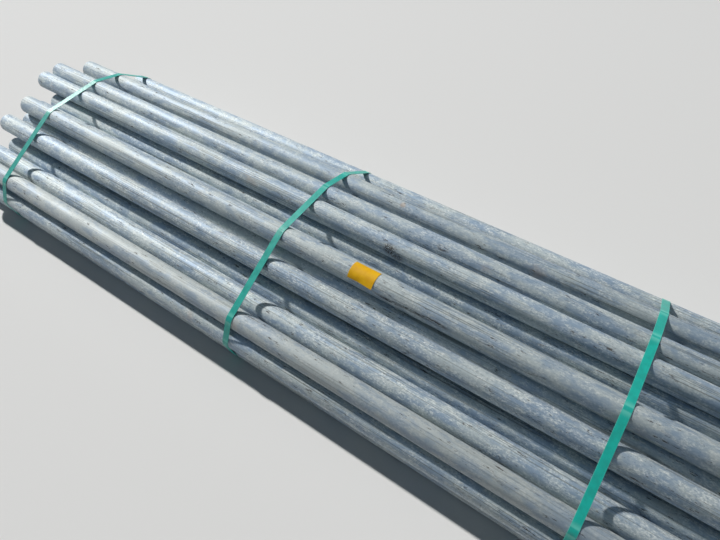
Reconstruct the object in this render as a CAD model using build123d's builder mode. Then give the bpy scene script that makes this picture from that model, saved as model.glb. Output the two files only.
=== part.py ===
# Strapped bundle of galvanised steel tubes lying on its straps.
# Tubes run along X, Y crosses the bundle, Z is up and z = 0 is the floor under the straps.
import os
from math import cos, degrees, radians, sqrt

from build123d import *

os.makedirs("parts", exist_ok=True)

# Driving dimensions in millimetres and degrees
tube_diameter = 48.3
tube_wall = 3.2
tube_length = 2000.0
tube_clearance = 0.3

strap_width = 16.0
strap_thickness = 0.9
strap_clearance = 0.3
weld_length = 30.0

label_length = 61.0
label_width = 44.0
label_thickness = 0.2
label_clearance = 0.3
label_turn = 12.0
label_station = 185.0

# Each strap by name: its place along the bundle from the tubes' middle, and its skew seen from above
left_strap_inset = 144.0
middle_strap_offset = -33.0
right_strap_inset = 281.0
straps = {
    "strap_left": (left_strap_inset - tube_length / 2, 0.0),
    "strap_middle": (middle_strap_offset, 0.0),
    "strap_right": (tube_length / 2 - right_strap_inset, 2.7),
}

# Rows from the floor up. Each tube is its place across the bundle and how far it has slid along it,
# both counted in tube pitches.
rows = [
    [(-0.25, -0.29), (0.77, 0.12), (1.80, -0.16), (2.86, 0.35), (4.05, -0.06), (5.10, 0.19), (6.15, -0.33),
     (7.20, 0.08), (8.30, 0.25), (9.60, -0.12)],
    [(-0.42, -0.19), (0.59, 0.27), (2.33, -0.10), (3.46, 0.23), (4.58, -0.37), (5.63, 0.06), (6.68, 0.31),
     (7.75, -0.14), (8.90, 0.10), (10.15, 0.39)],
    [(0.09, -0.25), (1.10, -0.08), (2.11, 0.41), (3.12, -0.23), (4.13, 0.16), (5.14, 0.45), (6.16, -0.04),
     (7.20, 0.29), (8.32, -0.21), (10.08, 2.39)],
    [(3.60, 0.41), (4.61, 0.02), (5.62, 0.41), (6.63, -0.27), (7.64, 0.21)],
    [(2.64, -0.19), (3.98, 0.49), (6.10, -0.78), (7.11, -0.70), (8.56, 0.10)],
]
label_row, label_tube = 4, 1
weld_above, weld_below = (2, 9), (1, 9)

# Sizes worked out from the driving dimensions
tube_radius = tube_diameter / 2
bore_radius = tube_radius - tube_wall
pitch = tube_diameter + tube_clearance
strap_inside = tube_radius + strap_clearance
strap_outside = strap_inside + strap_thickness


def stack_heights(rows):
    """Let every tube down onto the tubes already placed and give its height in pitches."""
    placed = []
    heights = []
    for row in rows:
        heights.append([])
        for place, slide in row:
            near = [(p, h) for p, h in placed if abs(place - p) < 1]
            height = max([0.0] + [h + sqrt(1 - (place - p) ** 2) for p, h in near])
            placed.append((place, height))
            heights[-1].append(height)
    return heights


def outer_corners(points):
    """The points that a tight strap bends at, in order round the bundle."""
    corners = []
    for ordered in (sorted(points), sorted(points, reverse=True)):
        side = []
        for point in ordered:
            while len(side) > 1 and turn(side[-2], side[-1], point) <= 0:
                side.pop()
            side.append(point)
        corners += side[:-1]
    return corners


def turn(a, b, c):
    """Twice the area of the triangle abc in square millimetres, positive for a left turn."""
    return (b[0] - a[0]) * (c[1] - a[1]) - (b[1] - a[1]) * (c[0] - a[0])


# The origin is the middle of the bundle's footprint
places = [place for row in rows for place, slide in row]
slides = [slide for row in rows for place, slide in row]
middle_place = (min(places) + max(places)) / 2
tube_middle = -(min(slides) + max(slides)) / 2 * pitch

# Centres of the tubes as (y, z), row by row
centres = [
    [((place - middle_place) * pitch, strap_outside + height * pitch) for (place, slide), height in zip(row, level)]
    for row, level in zip(rows, stack_heights(rows))
]
all_centres = [centre for row in centres for centre in row]


def make_tube_row(number):
    """All the tubes of one row, as separate hollow solids."""
    with BuildPart() as tube_row:
        for (place, slide), centre in zip(rows[number], centres[number]):
            start = tube_middle + slide * pitch - tube_length / 2
            with BuildSketch(Plane.YZ.offset(start)):
                with Locations(centre):
                    Circle(tube_radius)
                    Circle(bore_radius, mode=Mode.SUBTRACT)
            extrude(amount=tube_length)
    tube_row.part.label = f"tube_row_{number + 1}"
    return tube_row.part


def make_strap(name, station, skew):
    """One closed strap, drawn tight round the tubes, with its friction weld on the far flank."""
    section = Plane(
        origin=(tube_middle + station, 0, 0),
        x_dir=Vector(0, 1, 0).rotate(Axis.Z, skew),
        z_dir=Vector(1, 0, 0).rotate(Axis.Z, skew),
    )
    stretch = 1 / cos(radians(skew))
    skewed_centres = [(y * stretch, z) for y, z in all_centres]
    with BuildSketch(section) as inside:
        with BuildLine():
            Polyline(*outer_corners(skewed_centres), close=True)
        make_face()
        offset(amount=strap_inside)
    with BuildPart() as strap:
        with BuildSketch(section):
            add(inside.sketch_local)
            offset(amount=strap_thickness)
            add(inside.sketch_local, mode=Mode.SUBTRACT)
            upper, lower = (Vector(*centres[row][tube]) for row, tube in (weld_above, weld_below))
            run = (lower - upper).normalized()
            outward = run.rotate(Axis.Z, 90)
            # The welded tail is the second layer outside the band, rooted half-way into it
            weld_middle = (upper + lower) / 2 + outward * (strap_outside + strap_thickness / 4)
            with Locations(Location((weld_middle.X * stretch, weld_middle.Y), run.get_signed_angle(Vector(1, 0)))):
                Rectangle(weld_length, strap_thickness * 3 / 2)
        extrude(amount=strap_width / 2, dir=(1, 0, 0), both=True)
    strap.part.label = name
    return strap.part


def make_label():
    """The lot label, a thin sheet bent over one tube of the top row."""
    centre = centres[label_row][label_tube]
    inner = tube_radius + label_clearance
    half_angle = degrees(label_width / inner) / 2
    start_angle = 90 + label_turn - half_angle
    with BuildPart() as label:
        with BuildSketch(Plane.YZ.offset(tube_middle + label_station - label_length / 2)):
            with BuildLine():
                low = CenterArc(centre, inner, start_angle, 2 * half_angle)
                high = CenterArc(centre, inner + label_thickness, start_angle, 2 * half_angle)
                Line(low @ 0, high @ 0)
                Line(low @ 1, high @ 1)
            make_face()
        extrude(amount=label_length)
    label.part.label = "label"
    return label.part


parts = [make_tube_row(number) for number in range(len(rows))]
parts += [make_strap(name, *place) for name, place in straps.items()]
parts.append(make_label())

for part in parts:
    export_step(part, f"parts/{part.label}.step")
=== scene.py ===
from math import atan2, ceil, cos, hypot, pi, radians, sin, tan
from random import Random

import bmesh
import bpy
from mathutils import Matrix, Vector


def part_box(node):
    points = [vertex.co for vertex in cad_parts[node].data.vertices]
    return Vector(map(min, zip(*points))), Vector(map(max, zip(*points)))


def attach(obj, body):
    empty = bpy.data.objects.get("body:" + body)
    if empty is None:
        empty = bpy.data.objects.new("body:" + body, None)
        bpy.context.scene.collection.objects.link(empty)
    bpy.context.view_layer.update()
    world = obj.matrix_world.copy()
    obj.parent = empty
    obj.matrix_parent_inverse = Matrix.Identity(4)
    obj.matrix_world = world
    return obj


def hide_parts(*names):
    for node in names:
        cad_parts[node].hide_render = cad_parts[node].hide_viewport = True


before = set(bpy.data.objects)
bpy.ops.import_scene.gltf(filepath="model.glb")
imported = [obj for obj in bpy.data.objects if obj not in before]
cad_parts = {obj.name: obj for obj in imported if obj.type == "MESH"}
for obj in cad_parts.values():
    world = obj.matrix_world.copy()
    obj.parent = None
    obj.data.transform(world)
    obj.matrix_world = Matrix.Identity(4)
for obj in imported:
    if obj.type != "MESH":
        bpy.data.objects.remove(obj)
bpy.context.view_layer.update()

# Places and sizes are in metres, angles in degrees.
# The camera stands over the near long side, as in the photograph.
camera_place = Vector((0.621, -0.601, 1.187))
camera_heading = 41.14
camera_tilt = 37.42
camera_roll = -7.63
camera_lens = 30.0
sensor_width = 36.0

# Light: the sun stands over the left end, a little to the far side
sun_direction = (-0.78, 0.20, 0.54)
sun_strength = 4.2
sun_size = 2.5
sun_distance = 3.0
sun_tint = (1.0, 0.985, 0.955)
softbox_direction = (-0.25, 0.50, 0.83)
softbox_power = 3.0
softbox_size = 1.5
softbox_distance = 2.6
sky_strength = 0.05
sky_tint = (0.62, 0.82, 1.0, 1)

# Studio
backdrop_strength = 0.9
backdrop_tint = (0.96, 0.97, 1.0, 1)
floor_reach = 30.0
floor_color = (0.80, 0.80, 0.80, 1)
floor_roughness = 0.85

# Tubes
tube_rows = 5
tube_segments = 72
tube_smooth_angle = 35.0
# The middle of a rounded corner lies this share of the rounding inside the sharp one
end_rounding = 0.0005
rounding_bulge = 0.3
# A saw cut is off square by some share of the slant
end_slant = 0.0005
slant_shares = (0.2, 1.0)
weld_bead_height = 0.0007
weld_bead_width = 0.0028

# Finish of the tubes: how far apart their patterns are read, how light they are and how frosted
seed_reach = 50
tone_range = (0.90, 1.07)
frost_range = (0.6, 1.0)
# Tubes with a finish of their own in the photograph, by row and count: how frosted, and their tint
own_frost = {(3, 1): 0.4, (5, 2): 0.7, (4, 1): 0.8}
own_tint = {(3, 1): (0.95, 0.92, 0.90), (5, 2): (1.01, 1.0, 0.99)}

# Marks in the photograph: place on the bundle, and reach along X, Y and Z
dark_streaks = [
    ((0.310, -0.0645, 0.208), (0.050, 0.006, 0.005)),
    ((0.212, -0.0665, 0.203), (0.040, 0.005, 0.004)),
    ((0.245, 0.0955, 0.215), (0.016, 0.008, 0.008)),
]
brown_specks = [
    ((0.150, 0.042, 0.206), (0.020, 0.016, 0.016)),
    ((0.170, 0.031, 0.199), (0.024, 0.015, 0.017)),
]
warm_spot = ((0.0986, 0.1724, 0.194), (0.009, 0.009, 0.009))

# Zinc colours
zinc_blue = (0.30, 0.385, 0.485, 1)
zinc_pale = (0.51, 0.57, 0.58, 1)
frost_color = (0.83, 0.86, 0.845, 1)
dull_color = (0.18, 0.235, 0.29, 1)
line_color = (0.13, 0.14, 0.125, 1)
mark_color = (0.050, 0.038, 0.034, 1)
stain_color = (0.62, 0.44, 0.30, 1)

# Zinc patterns: how much each is squeezed along the tube, then the noise's scale, detail and roughness
zinc_patterns = {
    "grain": (0.55, 330.0, 5.0, 0.75),
    "coarse": (0.40, 90.0, 4.0, 0.65),
    "cloud": (0.30, 32.0, 3.0, 0.55),
    "streak": (0.006, 430.0, 2.0, 0.6),
    "bands": (0.06, 38.0, 2.0, 0.5),
    "tick": (0.20, 170.0, 5.0, 0.8),
    "rare": (0.5, 15.0, 2.0, 0.5),
    "fine": (1.0, 420.0, 4.0, 0.7),
    "stain": (0.7, 14.0, 3.0, 0.55),
}
crystal_squeeze, crystal_scale = 0.55, 300.0

# How much of the finer patterns goes into the clouds, and how much paler a smooth tube is
cloud_breaks = {"coarse": 0.55, "grain": 0.25}
smooth_paleness = 0.45
dull_share, mark_share = 0.5, 0.9

# Gloss of the zinc, from its blue clouds to its pale ones, and what frost and marks add to its roughness
zinc_roughness = (0.56, 0.64)
zinc_metal = (0.20, 0.12)
zinc_specular = 0.35
frost_roughness, mark_roughness = 0.10, 0.25

# Relief of the zinc: depth of each pattern, and strength
zinc_relief = {"streak": (0.00010, 0.7), "grain": (0.00022, 1.0), "cloud": (0.0008, 0.5)}

# Straps: the band clears the tubes by the CAD model's clearance
strap_clearance = 0.0003
strap_thickness = 0.0009
strap_width = 0.016
strap_edge = 0.0002
strap_smooth_angle = 25.0
strap_bend_step = 3.0
# Reach along the strap of the paler band at each bend, stress whitening with a painted highlight
strap_crease = 0.0025
strap_run_step = 0.012
strap_skews = {"strap_left": 0.0, "strap_middle": 0.0, "strap_right": 2.7}
weld_length = 0.030
weld_ribs = 9
weld_press = 0.00025
# The ribs reach this far from the weld's middle
weld_pressed_reach = 0.0108
weld_steps = 54
# The weld lies between the farthest tubes of these rows
weld_rows = (3, 2)

# Strap plastic
strap_dark, strap_light = (0.0, 0.36, 0.29, 1), (0.0, 0.45, 0.365, 1)
strap_dust = (0.25, 0.55, 0.46, 1)
# Paler green for the painted highlight along both edges and at the bends, where the bends also show stress
# whitening
strap_whitening_and_highlight = (0.20, 0.68, 0.57, 1)
strap_roughness = (0.33, 0.42)
strap_ior, strap_specular = 1.5, 0.6
# Width of the painted highlight along each edge of the strap
strap_edge_highlight_width = 0.0012
waffle_size, waffle_depth, waffle_strength = 0.0022, 0.00006, 0.8

# Label, which sits on this row and count of tube
label_tube = (5, 2)
label_width = 0.044
label_thickness = 0.0002
label_clearance = 0.0003
label_turn = 12.0
label_columns = 30
label_rows = 24
label_smooth_angle = 40.0
# Its near edge lifts towards the right end, from these shares of its width and length
label_lift = 0.0030
lift_across, lift_along = 0.72, 0.45
# The sheet ripples by so much, this many radians along it, across it and from corner to corner
ripple = 0.00012
ripple_along, ripple_across, ripple_slant = 9.0, 7.0, 2.0
label_edge_power = 6

# Label paper
label_dark, label_light = (0.80, 0.41, 0.0, 1), (0.88, 0.49, 0.001, 1)
label_worn, worn_share = (0.62, 0.40, 0.10, 1), 0.6
label_roughness, label_specular = 0.58, 0.3
label_relief, label_relief_strength = 0.0006, 0.4

rng = Random(7)


# Small helpers for node materials

def new_material(name):
    material = bpy.data.materials.new(name)
    material.use_nodes = True
    return material, material.node_tree.nodes["Principled BSDF"]


def add_node(material, kind, **settings):
    node = material.node_tree.nodes.new(kind)
    for key, value in settings.items():
        setattr(node, key, value)
    return node


def feed(material, socket, value):
    """Link a socket to an output, or set its plain value."""
    if isinstance(value, bpy.types.NodeSocket):
        material.node_tree.links.new(value, socket)
    else:
        socket.default_value = value


def read(material, attribute, output="Fac"):
    """A value that each point of the mesh carries."""
    return add_node(material, "ShaderNodeAttribute", attribute_name=attribute).outputs[output]


def math_node(material, operation, first, second=0.0, clamp=False):
    node = add_node(material, "ShaderNodeMath", operation=operation, use_clamp=clamp)
    feed(material, node.inputs[0], first)
    feed(material, node.inputs[1], second)
    return node.outputs[0]


def multiply(material, first, second):
    return math_node(material, "MULTIPLY", first, second)


def add(material, first, second, clamp=False):
    return math_node(material, "ADD", first, second, clamp)


def vector_node(material, operation, first, second):
    node = add_node(material, "ShaderNodeVectorMath", operation=operation)
    feed(material, node.inputs[0], first)
    feed(material, node.inputs[1], second)
    return node.outputs["Vector"]


def ramp(material, value, span, out=(0.0, 1.0)):
    """A value stretched from its span to another, and held outside that span."""
    node = add_node(material, "ShaderNodeMapRange", clamp=True, interpolation_type="SMOOTHSTEP")
    for name, number in zip(("From Min", "From Max", "To Min", "To Max"), (*span, *out)):
        node.inputs[name].default_value = number
    feed(material, node.inputs["Value"], value)
    return node.outputs[0]


def noise(material, place, scale, detail, roughness):
    node = add_node(material, "ShaderNodeTexNoise")
    feed(material, node.inputs["Vector"], place)
    node.inputs["Scale"].default_value = scale
    node.inputs["Detail"].default_value = detail
    node.inputs["Roughness"].default_value = roughness
    return node.outputs["Fac"]


def squeeze(material, place, along):
    """Places squeezed along the bundle, which draws a pattern out along the tubes."""
    return vector_node(material, "MULTIPLY", place, (along, 1.0, 1.0))


def mix_color(material, amount, first, second, blend="MIX"):
    node = add_node(material, "ShaderNodeMix", data_type="RGBA", blend_type=blend)
    feed(material, node.inputs["Factor"], amount)
    feed(material, node.inputs["A"], first)
    feed(material, node.inputs["B"], second)
    return node.outputs["Result"]


def bump(material, height, distance, strength, normal=None):
    node = add_node(material, "ShaderNodeBump")
    node.inputs["Strength"].default_value = strength
    node.inputs["Distance"].default_value = distance
    feed(material, node.inputs["Height"], height)
    if normal is not None:
        feed(material, node.inputs["Normal"], normal)
    return node.outputs["Normal"]


def spot(material, position, centre, radii):
    """1 at a place on the bundle, falling to 0 at the given radii along X, Y and Z."""
    shift = vector_node(material, "SUBTRACT", position, centre)
    scaled = vector_node(material, "MULTIPLY", shift, [1 / radius for radius in radii])
    length = add_node(material, "ShaderNodeVectorMath", operation="LENGTH")
    feed(material, length.inputs[0], scaled)
    return ramp(material, length.outputs["Value"], (0.4, 1.0), (1.0, 0.0))


# Galvanised steel

def make_zinc():
    """Hot-dip galvanised steel: pale zinc with blue-grey clouds, frost, drawn lines, ticks and stains."""
    material, shader = new_material("galvanised_steel")
    position = add_node(material, "ShaderNodeTexCoord").outputs["Object"]
    place = vector_node(material, "ADD", position, read(material, "tube_seed", "Vector"))
    frosting = read(material, "tube_frost")
    pattern = {}
    for name, (along, scale, detail, roughness) in zinc_patterns.items():
        pattern[name] = noise(material, squeeze(material, place, along), scale, detail, roughness)
    clouds = zinc_clouds(material, pattern)
    frost = zinc_frost(material, pattern, frosting)
    marks = zinc_marks(material, pattern, position)

    color = zinc_color(material, pattern, place, clouds, frost, frosting)
    color = mix_color(material, multiply(material, marks, mark_share), color, mark_color)
    color = mix_color(material, zinc_stains(material, pattern, position), color, stain_color)
    # Each tube is a little lighter or darker than the next
    color = mix_color(material, 1.0, color, read(material, "tube_tint", "Vector"), "MULTIPLY")
    feed(material, shader.inputs["Base Color"], color)

    cloud_span = (0.70, 1.10)
    rough = ramp(material, clouds, cloud_span, zinc_roughness)
    rough = add(material, rough, multiply(material, frost, frost_roughness))
    rough = add(material, rough, multiply(material, marks, mark_roughness), clamp=True)
    feed(material, shader.inputs["Roughness"], rough)
    metal = ramp(material, clouds, cloud_span, zinc_metal)
    feed(material, shader.inputs["Metallic"], math_node(material, "SUBTRACT", metal, marks, clamp=True))
    shader.inputs["Specular IOR Level"].default_value = zinc_specular
    normal = None
    for name, (depth, strength) in zinc_relief.items():
        normal = bump(material, pattern[name], depth, strength, normal)
    feed(material, shader.inputs["Normal"], normal)
    return material


def zinc_clouds(material, pattern):
    """Clouds longer along the tube than round it, with edges broken up by the grain."""
    clouds = pattern["cloud"]
    for name, share in cloud_breaks.items():
        clouds = add(material, clouds, multiply(material, pattern[name], share))
    return clouds


def zinc_frost(material, pattern, frosting):
    """Where the zinc is frosted, more so on a tube with more frosting."""
    grain = ramp(material, pattern["grain"], (0.44, 0.60))
    coarse = ramp(material, pattern["coarse"], (0.38, 0.60))
    return multiply(material, multiply(material, grain, coarse), frosting)


def zinc_color(material, pattern, place, clouds, frost, frosting):
    """The zinc's own colour: clouds, frosted and dull crystals, and lines drawn along the tube."""
    smoother = math_node(material, "SUBTRACT", 1.0, frosting)
    pale = ramp(material, clouds, (0.74, 1.06))
    pale = add(material, pale, multiply(material, smoother, smooth_paleness), clamp=True)
    color = mix_color(material, pale, zinc_blue, zinc_pale)
    # Crystals of frosted zinc, a few millimetres across, each with its own brightness
    crystals = add_node(material, "ShaderNodeTexVoronoi", feature="F1")
    feed(material, crystals.inputs["Vector"], squeeze(material, place, crystal_squeeze))
    crystals.inputs["Scale"].default_value = crystal_scale
    spangle = add_node(material, "ShaderNodeSeparateColor")
    feed(material, spangle.inputs[0], crystals.outputs["Color"])
    bright = multiply(material, frost, ramp(material, spangle.outputs[0], (0.1, 0.9), (0.45, 1.0)))
    color = mix_color(material, bright, color, frost_color)
    dull = ramp(material, pattern["grain"], (0.50, 0.36))
    dull = multiply(material, dull, ramp(material, spangle.outputs[1], (0.3, 1.0)))
    dull = multiply(material, dull, frosting)
    color = mix_color(material, multiply(material, dull, dull_share), color, dull_color)
    # Lines drawn along the tube, gathered in bands round it
    lines = ramp(material, pattern["streak"], (0.52, 0.62))
    lines = multiply(material, lines, ramp(material, pattern["bands"], (0.42, 0.56)))
    lines = multiply(material, lines, ramp(material, frosting, (0.2, 0.7), (0.28, 0.62)))
    return mix_color(material, lines, color, line_color)


def zinc_marks(material, pattern, position):
    """Sparse dark ticks, and the marks that stand out on the top row: dark streaks and brown specks."""
    ticks = ramp(material, pattern["tick"], (0.59, 0.64))
    marks = multiply(material, ticks, ramp(material, pattern["rare"], (0.39, 0.53)))
    for name, span, group in (("tick", (0.45, 0.52), dark_streaks), ("fine", (0.46, 0.50), brown_specks)):
        torn = ramp(material, pattern[name], span)
        for centre, radii in group:
            here = multiply(material, torn, spot(material, position, centre, radii))
            marks = math_node(material, "MAXIMUM", marks, here)
    return marks


def zinc_stains(material, pattern, position):
    """Faint brown stains, and the one warm spot of the photograph."""
    stain = ramp(material, pattern["stain"], (0.66, 0.80), (0.0, 0.35))
    speckled = ramp(material, pattern["grain"], (0.3, 0.5), (0.0, 0.5))
    warm = multiply(material, spot(material, position, *warm_spot), speckled)
    return math_node(material, "MAXIMUM", stain, warm)


# Strap plastic, label paper and plain materials

def make_strap_plastic():
    """Green polyester strapping: a fine pressed waffle, dusty, paler at its bends from stress whitening and
    a painted highlight, and with a painted highlight along both edges.
    """
    material, shader = new_material("strap_plastic")
    parts = add_node(material, "ShaderNodeSeparateXYZ")
    feed(material, parts.inputs[0], read(material, "band_place", "Vector"))
    run, across = parts.outputs[0], parts.outputs[1]
    waves = []
    for sign in (1.0, -1.0):
        slanted = add(material, run, multiply(material, across, sign))
        waves.append(math_node(material, "SINE", multiply(material, slanted, 2 * pi / waffle_size)))
    waffle = multiply(material, *waves)
    position = add_node(material, "ShaderNodeTexCoord").outputs["Object"]
    cloud = noise(material, position, 60.0, 3.0, 0.6)
    cloud_span = (0.3, 0.7)
    color = mix_color(material, ramp(material, cloud, cloud_span), strap_dark, strap_light)
    dust = ramp(material, noise(material, position, 900.0, 2.0, 0.6), (0.62, 0.82), (0.0, 0.25))
    color = mix_color(material, dust, color, strap_dust)
    half = strap_width / 2
    # Both edges and each bend are mixed towards a paler green: a painted highlight along the edges, and
    # stress whitening with a painted highlight at the bends
    rim = ramp(material, math_node(material, "ABSOLUTE", across), (half - strap_edge_highlight_width, half), (0.0, 0.35))
    crease = ramp(material, read(material, "band_whitening_and_highlight"), (0.0, 1.0), (0.0, 0.5))
    color = mix_color(material, math_node(material, "MAXIMUM", crease, rim), color, strap_whitening_and_highlight)
    feed(material, shader.inputs["Base Color"], color)
    feed(material, shader.inputs["Roughness"], ramp(material, cloud, cloud_span, strap_roughness))
    feed(material, shader.inputs["Normal"], bump(material, waffle, waffle_depth, waffle_strength))
    shader.inputs["IOR"].default_value = strap_ior
    shader.inputs["Specular IOR Level"].default_value = strap_specular
    return material


def make_label_paper():
    """Bare yellow-orange sticker, a little uneven and rubbed towards its edges."""
    material, shader = new_material("label_paper")
    position = add_node(material, "ShaderNodeTexCoord").outputs["Object"]
    cloud = noise(material, position, 70.0, 3.0, 0.6)
    color = mix_color(material, ramp(material, cloud, (0.3, 0.7)), label_dark, label_light)
    rubbed = ramp(material, noise(material, position, 420.0, 4.0, 0.7), (0.48, 0.62))
    worn = multiply(material, rubbed, ramp(material, read(material, "label_edge"), (0.55, 1.0)))
    color = mix_color(material, multiply(material, worn, worn_share), color, label_worn)
    feed(material, shader.inputs["Base Color"], color)
    shader.inputs["Roughness"].default_value = label_roughness
    shader.inputs["Specular IOR Level"].default_value = label_specular
    feed(material, shader.inputs["Normal"], bump(material, cloud, label_relief, label_relief_strength))
    return material


def make_plain(name, color, roughness):
    material, shader = new_material(name)
    shader.inputs["Base Color"].default_value = color
    shader.inputs["Roughness"].default_value = roughness
    return material


# Reading the tubes from the frame

def read_tubes(node):
    """Every tube of a CAD row: its axis (y, z), its ends along X, and its outer and bore radius."""
    mesh = bmesh.new()
    mesh.from_mesh(node.data)
    bmesh.ops.remove_doubles(mesh, verts=mesh.verts, dist=1e-6)
    left = set(mesh.verts)
    tubes = []
    while left:
        pile = [left.pop()]
        island = []
        while pile:
            vert = pile.pop()
            island.append(vert.co.copy())
            for edge in vert.link_edges:
                other = edge.other_vert(vert)
                if other in left:
                    left.remove(other)
                    pile.append(other)
        y, z = (sum(co[axis] for co in island) / len(island) for axis in (1, 2))
        x0, x1 = min(co.x for co in island), max(co.x for co in island)
        reach = [hypot(co.y - y, co.z - z) for co in island]
        tubes.append({"y": y, "z": z, "x0": x0, "x1": x1, "outer": max(reach), "bore": min(reach)})
    mesh.free()
    return sorted(tubes, key=lambda tube: tube["y"])


# Pieces

def make_mesh(name, verts, faces, smooth_angle):
    mesh = bpy.data.meshes.new(name)
    mesh.from_pydata(verts, [], faces)
    mesh.polygons.foreach_set("use_smooth", [True] * len(mesh.polygons))
    mesh.set_sharp_from_angle(angle=radians(smooth_angle))
    return mesh


def make_object(name, mesh, material, slot_name, *nodes):
    piece = bpy.data.objects.new(name, mesh)
    bpy.context.scene.collection.objects.link(piece)
    mesh.materials.append(material)
    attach(piece, "root")
    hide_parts(*nodes)


def set_point_values(mesh, name, kind, values):
    attribute = mesh.attributes.new(name, kind, "POINT")
    flat = [number for value in values for number in value] if kind == "FLOAT_VECTOR" else values
    attribute.data.foreach_set("vector" if kind == "FLOAT_VECTOR" else "value", flat)


def tube_profile(tube):
    """The tube's section as (x, radius), with every corner rounded, in order round the wall."""
    outer, bore = tube["outer"], tube["bore"]
    bulge = end_rounding * rounding_bulge
    profile = []
    for end, inward in ((tube["x0"], 1), (tube["x1"], -1)):
        corner = [
            (end + inward * end_rounding, outer),
            (end + inward * bulge, outer - bulge),
            (end, outer - end_rounding),
            (end, bore + end_rounding),
            (end + inward * bulge, bore + bulge),
            (end + inward * end_rounding, bore),
        ]
        profile += corner[::-1] if inward > 0 else corner
    return profile


def make_tube(name, tube, material, node_name):
    """A hollow tube with lightly rounded saw cuts and the rolled seam's bead inside its bore."""
    outer, bore = tube["outer"], tube["bore"]
    middle = (tube["x0"] + tube["x1"]) / 2
    profile = tube_profile(tube)
    bead_angle = rng.uniform(0, 2 * pi)
    slants = [(rng.uniform(0, 2 * pi), rng.uniform(*slant_shares) * end_slant) for end in range(2)]
    verts = []
    for x, radius in profile:
        direction, slant = slants[x > middle]
        inward = 1 if x < middle else -1
        for step in range(tube_segments):
            angle = 2 * pi * step / tube_segments
            here = radius
            if radius < (outer + bore) / 2:
                off = abs((angle - bead_angle + pi) % (2 * pi) - pi) * bore
                here -= weld_bead_height * max(0.0, 1 - (off / weld_bead_width) ** 2)
            cut = slant * (1 + cos(angle - direction)) / 2
            verts.append((x + inward * cut, tube["y"] + here * cos(angle), tube["z"] + here * sin(angle)))
    faces = []
    rings = len(profile)
    for ring in range(rings):
        after = (ring + 1) % rings
        for step in range(tube_segments):
            beside = (step + 1) % tube_segments
            a, b = ring * tube_segments + step, ring * tube_segments + beside
            c, d = after * tube_segments + beside, after * tube_segments + step
            faces.append((a, b, c, d))
    mesh = make_mesh(name, verts, faces, tube_smooth_angle)
    set_finish(mesh, (tube["row"], tube["count"]))
    make_object(name, mesh, material, "galvanised_steel", node_name)


def set_finish(mesh, which):
    """The finish of one tube, the same on all its points: its seed, its tint and how frosted it is."""
    seed = tuple(rng.uniform(-seed_reach, seed_reach) for axis in range(3))
    tone = rng.uniform(*tone_range)
    tint = tuple(tone * share for share in own_tint.get(which, (1.0, 1.0, 1.0)))
    frost = own_frost.get(which, rng.uniform(*frost_range))
    points = len(mesh.vertices)
    set_point_values(mesh, "tube_seed", "FLOAT_VECTOR", [seed] * points)
    set_point_values(mesh, "tube_tint", "FLOAT_VECTOR", [tint] * points)
    set_point_values(mesh, "tube_frost", "FLOAT", [frost] * points)


def turn(a, b, c):
    """Twice the area of the triangle abc, positive for a left turn."""
    return (b[0] - a[0]) * (c[1] - a[1]) - (b[1] - a[1]) * (c[0] - a[0])


def outer_corners(points):
    """The tube centres that a tight strap bends round, in order."""
    corners = []
    for ordered in (sorted(points), sorted(points, reverse=True)):
        side = []
        for point in ordered:
            while len(side) > 1 and turn(side[-2], side[-1], point) < 1e-6:
                side.pop()
            side.append(point)
        corners += side[:-1]
    return corners


def strap_path(corners, radius):
    """Closed line round the corner tubes as (centre, outward angle, run), and the runs at its creases."""
    points, creases = [], []
    run = 0.0
    count = len(corners)
    for index in range(count):
        before, here, after = (corners[(index + shift) % count] for shift in (-1, 0, 1))
        into = atan2(here[1] - before[1], here[0] - before[0]) - pi / 2
        away = atan2(after[1] - here[1], after[0] - here[0]) - pi / 2
        bend = (away - into) % (2 * pi)
        steps = max(2, ceil(bend / radians(strap_bend_step)))
        for step in range(steps + 1):
            points.append((here, into + bend * step / steps, run + radius * bend * step / steps))
        creases += [run, run + radius * bend]
        run += radius * bend
        length = hypot(after[0] - here[0], after[1] - here[1])
        pieces = max(1, ceil(length / strap_run_step))
        for step in range(1, pieces):
            share = step / pieces
            between = (here[0] + (after[0] - here[0]) * share, here[1] + (after[1] - here[1]) * share)
            points.append((between, away, run + length * share))
        run += length
    return points, creases


def sweep_band(name, path, radius, station, skew, closed, material, strap_name, creases=()):
    """A flat band with softened edges, swept along a path of points round the bundle."""
    half, edge, top = strap_width / 2, strap_edge, strap_thickness
    section = [
        (-half + edge, 0.0), (half - edge, 0.0), (half, edge), (half, top - edge),
        (half - edge, top), (-half + edge, top), (-half, top - edge), (-half, edge),
    ]
    verts, places, bend_whitening_and_highlight = [], [], []
    for centre, angle, run in path:
        for across, height in section:
            y = centre[0] + (radius + height) * cos(angle)
            z = centre[1] + (radius + height) * sin(angle)
            verts.append((station + across - y * tan(skew), y, z))
            places.append((run, across, height))
            # Each point's closeness to a bend, which sets the paler band of stress whitening and painted
            # highlight
            bend_whitening_and_highlight.append(max([0.0] + [1 - abs(run - crease) / strap_crease for crease in creases]))
    wide, rings = len(section), len(path)
    faces = []
    for ring in range(rings if closed else rings - 1):
        after = (ring + 1) % rings
        for side in range(wide):
            beside = (side + 1) % wide
            a, b = ring * wide + beside, after * wide + beside
            c, d = after * wide + side, ring * wide + side
            faces.append((a, b, c, d))
    if not closed:
        faces.append(tuple(range(wide)))
        faces.append(tuple((rings - 1) * wide + side for side in reversed(range(wide))))
    mesh = make_mesh(name, verts, faces, strap_smooth_angle)
    set_point_values(mesh, "band_place", "FLOAT_VECTOR", places)
    set_point_values(mesh, "band_whitening_and_highlight", "FLOAT", bend_whitening_and_highlight)
    make_object(name, mesh, material, "strap_green", strap_name)


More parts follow.
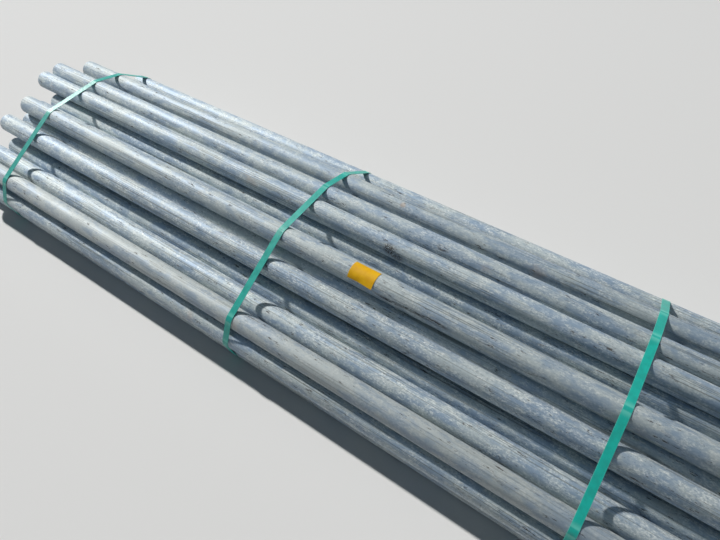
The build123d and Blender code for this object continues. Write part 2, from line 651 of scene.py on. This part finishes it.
def make_strap(name, tubes, material):
    """The closed band, and its tail welded over it on the far flank."""
    low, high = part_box(name)
    station = (low[0] + high[0]) / 2
    skew = radians(strap_skews[name])
    radius = tubes[0]["outer"] + strap_clearance
    corners = outer_corners([(tube["y"], tube["z"]) for tube in tubes])
    path, creases = strap_path(corners, radius)
    sweep_band(name + "_band", path, radius, station, skew, True, material, name, creases)
    tail = weld_path(tubes)
    sweep_band(name + "_tail", tail, radius + strap_thickness, station, skew, False, material, name)


def farthest(tubes):
    return max(tubes, key=lambda tube: tube["y"])


def weld_path(tubes):
    """The tail's line on the straight run between two far tubes, with the ribs that the weld presses in."""
    upper, lower = (farthest([tube for tube in tubes if tube["row"] == row]) for row in weld_rows)
    run = Vector((lower["y"] - upper["y"], lower["z"] - upper["z"])).normalized()
    middle = Vector((upper["y"] + lower["y"], upper["z"] + lower["z"])) / 2
    outward = atan2(run.x, -run.y)
    path = []
    for step in range(weld_steps + 1):
        along = (step / weld_steps - 0.5) * weld_length
        press = weld_press * (0.5 + 0.5 * cos(2 * pi * weld_ribs * step / weld_steps))
        shift = -press if abs(along) < weld_pressed_reach else 0.0
        point = middle + run * along
        path.append(((point.x + shift * cos(outward), point.y + shift * sin(outward)), outward, along))
    return path


def make_label(tube, material):
    """The sticker, wrapped over its tube, with the right end of its near edge beginning to lift."""
    low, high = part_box("label")
    inner = tube["outer"] + label_clearance
    half_angle = label_width / inner / 2
    middle_angle = radians(90 + label_turn)
    verts, edges_out = [], []
    for thickness in (0.0, label_thickness):
        for row in range(label_rows + 1):
            across = row / label_rows
            angle = middle_angle + half_angle * (2 * across - 1)
            near = max(0.0, (across - lift_across) / (1 - lift_across)) ** 2
            for column in range(label_columns + 1):
                along = column / label_columns
                right = max(0.0, (along - lift_along) / (1 - lift_along))
                wave = sin(ripple_along * along) * sin(ripple_across * across + ripple_slant * along)
                radius = inner + thickness + label_lift * near * right + ripple * (1 + wave)
                x = low[0] + (high[0] - low[0]) * along
                verts.append((x, tube["y"] + radius * cos(angle), tube["z"] + radius * sin(angle)))
                edges_out.append(max(abs(2 * along - 1), abs(2 * across - 1)) ** label_edge_power)
    wide = label_columns + 1
    sheet = wide * (label_rows + 1)
    faces = []
    for row in range(label_rows):
        for column in range(label_columns):
            a = row * wide + column
            faces.append((a, a + wide, a + wide + 1, a + 1))
            faces.append((sheet + a, sheet + a + 1, sheet + a + wide + 1, sheet + a + wide))
    rim = list(range(label_columns))
    rim += [row * wide + label_columns for row in range(label_rows)]
    rim += [label_rows * wide + column for column in range(label_columns, 0, -1)]
    rim += [row * wide for row in range(label_rows, 0, -1)]
    for a, b in zip(rim, rim[1:] + rim[:1]):
        faces.append((a, b, sheet + b, sheet + a))
    mesh = make_mesh("label_sheet", verts, faces, label_smooth_angle)
    set_point_values(mesh, "label_edge", "FLOAT", edges_out)
    make_object("label_sheet", mesh, material, "label_yellow", "label")


# Camera and studio

def make_camera():
    data = bpy.data.cameras.new("camera")
    data.lens = camera_lens
    data.sensor_width = sensor_width
    camera = bpy.data.objects.new("camera", data)
    turned = Matrix.Rotation(radians(camera_heading), 4, "Z") @ Matrix.Rotation(radians(camera_tilt), 4, "X")
    roll = Matrix.Rotation(radians(camera_roll), 4, "Z")
    camera.matrix_world = Matrix.Translation(camera_place) @ turned @ roll
    bpy.context.scene.collection.objects.link(camera)
    bpy.context.scene.camera = camera


def make_lamp(name, kind, direction, energy, distance, tint=(1, 1, 1)):
    """A lamp shining at the bundle from a direction given as a vector towards the lamp."""
    data = bpy.data.lights.new(name, kind)
    data.energy = energy
    data.color = tint
    lamp = bpy.data.objects.new(name, data)
    towards = Vector(direction).normalized()
    lamp.location = towards * distance
    lamp.rotation_euler = towards.to_track_quat("Z", "Y").to_euler()
    bpy.context.scene.collection.objects.link(lamp)
    return data


def make_lamps():
    sun = make_lamp("sun", "SUN", sun_direction, sun_strength, sun_distance, sun_tint)
    sun.angle = radians(sun_size)
    softbox = make_lamp("softbox", "AREA", softbox_direction, softbox_power, softbox_distance)
    softbox.shape = "DISK"
    softbox.size = softbox_size


def make_floor():
    reach = floor_reach
    corners = [(-reach, -reach, 0), (reach, -reach, 0), (reach, reach, 0), (-reach, reach, 0)]
    mesh = bpy.data.meshes.new("floor")
    mesh.from_pydata(corners, [], [(0, 1, 2, 3)])
    mesh.materials.append(make_plain("floor", floor_color, floor_roughness))
    floor = bpy.data.objects.new("floor", mesh)
    bpy.context.scene.collection.objects.link(floor)


def make_world():
    """A backdrop that is near white to the camera and in reflections, and dimmer as a light."""
    world = bpy.data.worlds.new("world")
    bpy.context.scene.world = world
    world.use_nodes = True
    background = world.node_tree.nodes["Background"]
    light_path = add_node(world, "ShaderNodeLightPath")
    camera_ray = light_path.outputs["Is Camera Ray"]
    seen = camera_ray
    for name in ("Is Glossy Ray", "Is Transmission Ray"):
        seen = math_node(world, "MAXIMUM", seen, light_path.outputs[name])
    strength = add_node(world, "ShaderNodeMapRange")
    strength.inputs["To Min"].default_value = sky_strength
    strength.inputs["To Max"].default_value = backdrop_strength
    feed(world, strength.inputs["Value"], seen)
    feed(world, background.inputs["Strength"], strength.outputs[0])
    feed(world, background.inputs["Color"], mix_color(world, camera_ray, sky_tint, backdrop_tint))


make_camera()
make_floor()
make_lamps()
make_world()
bpy.context.scene.view_settings.view_transform = "Standard"

zinc = make_zinc()
tubes = {}
for row in range(1, tube_rows + 1):
    row_name = f"tube_row_{row}"
    for count, tube in enumerate(read_tubes(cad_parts[row_name]), 1):
        tube["row"], tube["count"] = row, count
        make_tube(f"{row_name}_tube_{count:02d}", tube, zinc, row_name)
        tubes[row, count] = tube
strap_plastic = make_strap_plastic()
for strap_name in strap_skews:
    make_strap(strap_name, list(tubes.values()), strap_plastic)
make_label(tubes[label_tube], make_label_paper())
